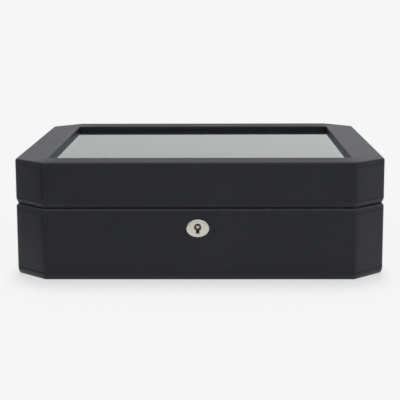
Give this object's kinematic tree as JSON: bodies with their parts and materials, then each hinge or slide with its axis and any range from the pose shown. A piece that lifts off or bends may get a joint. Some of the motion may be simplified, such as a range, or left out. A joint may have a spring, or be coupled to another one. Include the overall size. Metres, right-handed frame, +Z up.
{
  "type": "watch box",
  "caption": "Black leather watch box with cut corners, a hinged glass-topped lid, a front key lock and a divided tray of lift-out cushions.",
  "frame": {"origin": "centre of the footprint, on the surface the feet stand on", "axes": "+Z up; +X along the width, to the right seen from the front; the lock faces -Y and the hinges are at +Y"},
  "size_m": [0.32, 0.3052, 0.1025],
  "materials": {
    "wood_carcass": "plain boards hidden under leather and fabric",
    "black_leather": "fine-grained, semi-matt, black stitching",
    "suede_lining": "short suede nap",
    "suede_cushion": "short suede nap",
    "felt_underside": "felt",
    "black_rubber": "matt",
    "satin_nickel": "satin nickel plate",
    "steel_fittings": "satin",
    "brass_bolt": "plain",
    "clear_glass": "clear, polished"
  },
  "bodies": {
    "base": {"base_board": "wood_carcass", "front_board": "wood_carcass", "back_board": "wood_carcass", "left_board": "wood_carcass", "right_board": "wood_carcass", "base_corner_posts": "wood_carcass", "base_leather": "black_leather", "bottom_cover": "felt_underside", "feet": "black_rubber", "base_lining": "suede_lining", "floor_pad": "suede_lining", "long_dividers": "suede_lining", "cross_dividers": "suede_lining", "escutcheon": "satin_nickel", "lock_case": "steel_fittings", "drill_pin": "satin_nickel", "lock_top_plate": "steel_fittings", "lock_spring": "steel_fittings", "lock_screws": "steel_fittings", "hinge_base_leaves": "steel_fittings", "hinge_pins": "steel_fittings", "hinge_base_screws": "steel_fittings"},
    "lid": {"lid_front_board": "wood_carcass", "lid_back_board": "wood_carcass", "lid_left_board": "wood_carcass", "lid_right_board": "wood_carcass", "lid_corner_posts": "wood_carcass", "front_rail": "wood_carcass", "back_rail": "wood_carcass", "left_rail": "wood_carcass", "right_rail": "wood_carcass", "lid_leather": "black_leather", "lid_lining": "suede_lining", "glass_pane": "clear_glass", "glass_seal": "black_rubber", "glass_retainer": "suede_lining", "retainer_screws": "steel_fittings", "link_plate": "steel_fittings", "link_screws": "steel_fittings", "hinge_lid_leaves": "steel_fittings", "hinge_lid_screws": "steel_fittings"},
    "lock_bolt": {"lock_bolt": "brass_bolt"},
    "cushion_1_1": {"cushion_1_1": "suede_cushion"},
    "cushion_1_2": {"cushion_1_2": "suede_cushion"},
    "cushion_1_3": {"cushion_1_3": "suede_cushion"},
    "cushion_1_4": {"cushion_1_4": "suede_cushion"},
    "cushion_1_5": {"cushion_1_5": "suede_cushion"},
    "cushion_2_1": {"cushion_2_1": "suede_cushion"},
    "cushion_2_2": {"cushion_2_2": "suede_cushion"},
    "cushion_2_3": {"cushion_2_3": "suede_cushion"},
    "cushion_2_4": {"cushion_2_4": "suede_cushion"},
    "cushion_2_5": {"cushion_2_5": "suede_cushion"},
    "cushion_3_1": {"cushion_3_1": "suede_cushion"},
    "cushion_3_2": {"cushion_3_2": "suede_cushion"},
    "cushion_3_3": {"cushion_3_3": "suede_cushion"},
    "cushion_3_4": {"cushion_3_4": "suede_cushion"},
    "cushion_3_5": {"cushion_3_5": "suede_cushion"}
  },
  "joints": [
    {"name": "lid_hinge", "type": "hinge", "parent": "base", "child": "lid", "pos_m": [0, 0.1501, 0.063], "axis": [-1, 0, 0], "range_deg": [0, 100]},
    {"name": "bolt_slide", "type": "slide", "parent": "base", "child": "lock_bolt", "axis": [1, 0, 0], "range_m": [0, 0.005]},
    {"name": "cushion_1_1_lift", "type": "slide", "parent": "base", "child": "cushion_1_1", "axis": [0, 0, 1], "range_m": [0, 0.025]},
    {"name": "cushion_1_2_lift", "type": "slide", "parent": "base", "child": "cushion_1_2", "axis": [0, 0, 1], "range_m": [0, 0.025]},
    {"name": "cushion_1_3_lift", "type": "slide", "parent": "base", "child": "cushion_1_3", "axis": [0, 0, 1], "range_m": [0, 0.025]},
    {"name": "cushion_1_4_lift", "type": "slide", "parent": "base", "child": "cushion_1_4", "axis": [0, 0, 1], "range_m": [0, 0.025]},
    {"name": "cushion_1_5_lift", "type": "slide", "parent": "base", "child": "cushion_1_5", "axis": [0, 0, 1], "range_m": [0, 0.025]},
    {"name": "cushion_2_1_lift", "type": "slide", "parent": "base", "child": "cushion_2_1", "axis": [0, 0, 1], "range_m": [0, 0.025]},
    {"name": "cushion_2_2_lift", "type": "slide", "parent": "base", "child": "cushion_2_2", "axis": [0, 0, 1], "range_m": [0, 0.025]},
    {"name": "cushion_2_3_lift", "type": "slide", "parent": "base", "child": "cushion_2_3", "axis": [0, 0, 1], "range_m": [0, 0.025]},
    {"name": "cushion_2_4_lift", "type": "slide", "parent": "base", "child": "cushion_2_4", "axis": [0, 0, 1], "range_m": [0, 0.025]},
    {"name": "cushion_2_5_lift", "type": "slide", "parent": "base", "child": "cushion_2_5", "axis": [0, 0, 1], "range_m": [0, 0.025]},
    {"name": "cushion_3_1_lift", "type": "slide", "parent": "base", "child": "cushion_3_1", "axis": [0, 0, 1], "range_m": [0, 0.025]},
    {"name": "cushion_3_2_lift", "type": "slide", "parent": "base", "child": "cushion_3_2", "axis": [0, 0, 1], "range_m": [0, 0.025]},
    {"name": "cushion_3_3_lift", "type": "slide", "parent": "base", "child": "cushion_3_3", "axis": [0, 0, 1], "range_m": [0, 0.025]},
    {"name": "cushion_3_4_lift", "type": "slide", "parent": "base", "child": "cushion_3_4", "axis": [0, 0, 1], "range_m": [0, 0.025]},
    {"name": "cushion_3_5_lift", "type": "slide", "parent": "base", "child": "cushion_3_5", "axis": [0, 0, 1], "range_m": [0, 0.025]}
  ]
}
